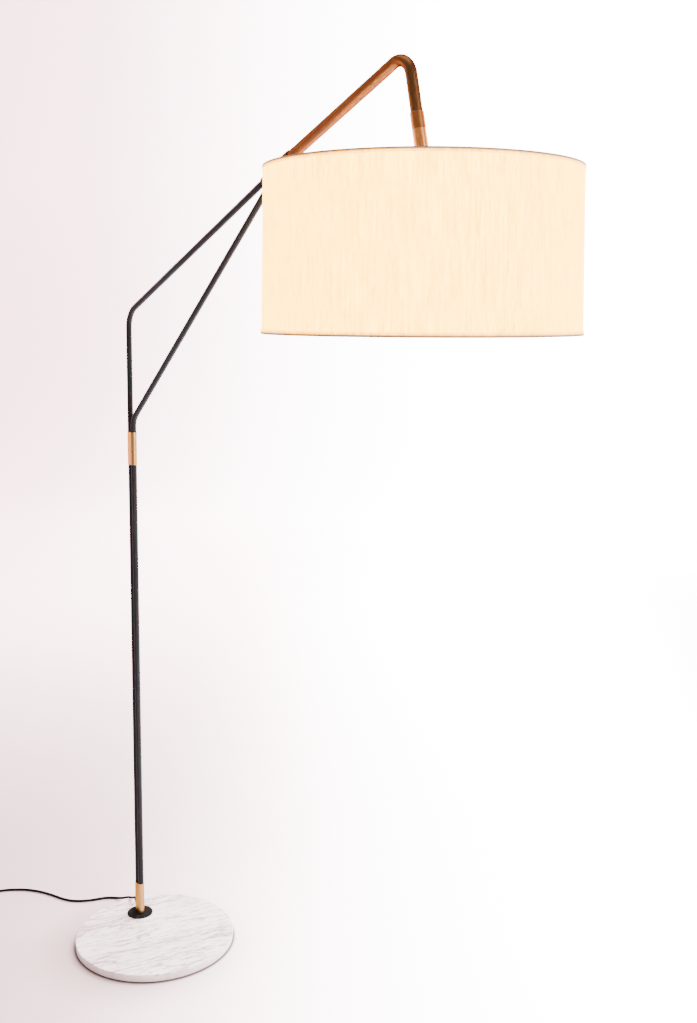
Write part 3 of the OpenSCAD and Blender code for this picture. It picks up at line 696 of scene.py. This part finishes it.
def spread(tree, to_wall, low, high, near, far):
    """A level that eases from low to high across the floor, and across another stretch on the wall."""
    across = along_axis(tree, ACROSS)
    mixed = node(tree, "Mix", data_type="FLOAT")
    join(tree, to_wall, mixed, "Factor")
    join(tree, eased(tree, across, low, high, *near), mixed, MIX_FLOAT_A)
    join(tree, eased(tree, across, low, high, *far), mixed, MIX_FLOAT_B)
    return mixed.outputs[MIX_FLOAT_OUT]


def painted_foot_shadow(tree, shift, least, inner, outer):
    """Painted shadow on the paper close to the marble foot, which eases off outwards."""
    gap = node(tree, "VectorMath", operation="DISTANCE")
    gap.inputs[1].default_value = middle("marble_base").xy.to_3d() + Vector(shift)
    join(tree, node(tree, "TexCoord").outputs["Object"], gap, 0)
    return eased(tree, gap.outputs["Value"], least, 1.0, inner, outer)


def lit_paper():
    """Pale paper with painted light and shade: its emission paints light from the right and behind, so it
    burns out to white there, with painted shadow round the foot and painted shade to the left.
    """
    material, tree, shader = new_material("pale_floor")
    cloudy = noise(tree, coords(tree), 1.4, 4, 0.55)
    tone = ramp(tree, cloudy, [(0.3, (0.78, 0.60, 0.60)), (0.7, (0.82, 0.64, 0.635))])
    # Painted shadows: a tight dark ring where the foot meets the paper, and a softer one shifted to the lower
    # left.
    painted_contact_shadow = painted_foot_shadow(tree, (0, 0, 0), 0.10, 0.175, 0.184)
    soft = painted_foot_shadow(tree, (0.003, -0.030, 0), 0.72, 0.16, 0.27)
    ahead = along_axis(tree, AHEAD)
    to_wall = eased(tree, ahead, 0.0, 1.0, *TO_WALL)
    # Painted shade: the paper's colour is darker to the left and round the foot.
    shade = product(tree, painted_contact_shadow, soft, spread(tree, to_wall, 0.72, 1.0, *SHADED_LEFT))
    grey = ramp(tree, shade, [(0.0, (0, 0, 0)), (1.0, (1, 1, 1))])
    join(tree, multiplied(tree, tone, grey, 1.0), shader, "Base Color")
    uneven = noise(tree, coords(tree), 9, 3, 0.5)
    join(tree, to_range(tree, uneven, 0.55, 0.7), shader, "Roughness")
    set_values(shader, Specular_IOR_Level=0.2)
    # Painted light: the emission grows to the right and towards the wall, and the painted shadows round the
    # foot hold it back there.
    from_right = product(tree, spread(tree, to_wall, 0.0, 13.0, *LIT_RIGHT),
                         spread(tree, to_wall, 1.0, 0.1, *FADED_RIGHT),
                         eased(tree, ahead, 0.05, 1.0, *LIT_FROM_FRONT))
    from_back = eased(tree, ahead, 0.0, 4.6, *LIT_FROM_BACK)
    strength = product(tree, calculated(tree, "ADD", from_right, from_back), painted_contact_shadow, soft)
    join(tree, strength, shader, "Emission Strength")
    # The painted light is pinkish to the left and white to the right.
    side = spread(tree, to_wall, 0.0, 1.0, *WHITE_RIGHT)
    tint = ramp(tree, side, [(0.0, (1.0, 0.62, 0.68)), (1.0, (1.0, 0.94, 0.97))])
    join(tree, tint, shader, "Emission Color")
    bump(tree, noise(tree, coords(tree), 300, 3, 0.5), shader, 0.1, 0.0001)
    return material


def sweep_floor():
    """A floor that curves up into a wall behind the lamp, square to the photograph's view."""
    reach_front, reach_back, radius, height, half_width = 12.0, 8.0, 2.5, 14.0, 30.0
    steps = 24
    profile = [(-reach_front, 0.0), (0.0, 0.0), (reach_back - radius, 0.0)]
    for i in range(1, steps + 1):
        a = math.pi / 2 * i / steps
        profile.append((reach_back - radius + radius * math.sin(a), radius * (1 - math.cos(a))))
    profile.append((reach_back, height))
    verts = [AHEAD * far + ACROSS * side + UP * z for far, z in profile for side in (-half_width, half_width)]
    faces = [(2 * i, 2 * i + 1, 2 * i + 3, 2 * i + 2) for i in range(len(profile) - 1)]
    floor = mesh_object("studio_floor", verts, faces, lit_paper(), 80)


def area_light(name, place, aim, width, height, power, colour=(1, 1, 1)):
    """A rectangular light at a place, turned to its aim. Power is in watts."""
    data = bpy.data.lights.new(name, "AREA")
    data.shape = "RECTANGLE"
    data.size = width
    data.size_y = height
    data.energy = power
    data.color = colour
    light = add_object(name, data)
    light.location = place
    light.rotation_euler = (Vector(aim) - Vector(place)).to_track_quat("-Z", "Y").to_euler()


def bulb_light(power, colour, drop):
    """The light that the bulb gives, from a point a drop below the glass."""
    data = bpy.data.lights.new("bulb_light", "POINT")
    data.energy = power
    data.color = colour
    data.shadow_soft_size = 20 * MM
    centre = middle("bulb_glass")
    light = add_object("bulb_light", data)
    light.location = (centre.x, centre.y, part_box("bulb_glass")[0].z - drop)


def make_world(colour, strength):
    """Even light from all round."""
    world = bpy.data.worlds.new("studio")
    world.use_nodes = True
    set_values(world.node_tree.nodes["Background"], Color=(*colour, 1), Strength=strength)
    bpy.context.scene.world = world


def make_lights():
    """A key from behind on the right, three soft fills, the bulb and an even world."""
    area_light("key_back_right", (0.1, 2.5, 2.7), (0.1, 0.0, 0.1), 1.5, 1.5, 345, (1.0, 0.98, 0.97))
    area_light("strip_right", (2.8, 0.35, 1.3), (0.0, 0.0, 0.9), 0.3, 2.4, 62, (1.0, 0.97, 0.94))
    area_light("fill_left", (-2.6, -1.6, 2.0), (0.2, 0, 0.9), 1.2, 2.2, 22)
    area_light("top", (0.0, 0.2, 3.6), (0.1, 0.0, 0), 2.6, 2.6, 80)
    bulb_light(30, (1.0, 0.74, 0.46), 25 * MM)
    make_world((1.0, 0.99, 0.985), 0.35)


sweep_floor()
make_lights()
